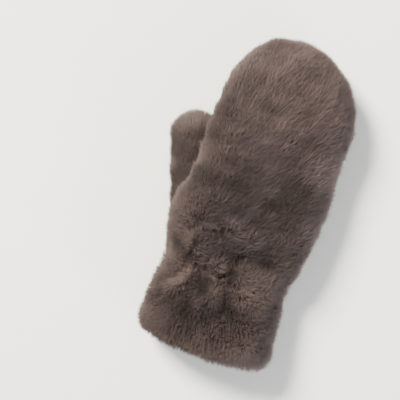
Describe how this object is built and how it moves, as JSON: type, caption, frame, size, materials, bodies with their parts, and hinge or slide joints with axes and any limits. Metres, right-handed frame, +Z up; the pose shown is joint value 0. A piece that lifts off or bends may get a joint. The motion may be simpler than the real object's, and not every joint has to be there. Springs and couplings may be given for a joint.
{
  "type": "fur mitten",
  "caption": "Deep-pile fur mitten with a gathered wrist, a flared cuff open at the hem, and a thumb tucked under its edge, lying on its palm.",
  "frame": {"origin": "on the surface that the mitten lies on, under the middle of its outline seen from above", "axes": "+Y from the hem to the fingertips, +Z up through the back of the hand, and the thumb at -X"},
  "size_m": [0.152, 0.28, 0.068],
  "materials": {
    "fur": "soft deep pile, taupe with lighter tips and darker roots"
  },
  "bodies": {
    "root": {"back_panel": "fur", "palm_panel": "fur", "cuff": "fur", "thumb_back": "fur", "thumb_front": "fur"}
  },
  "joints": []
}
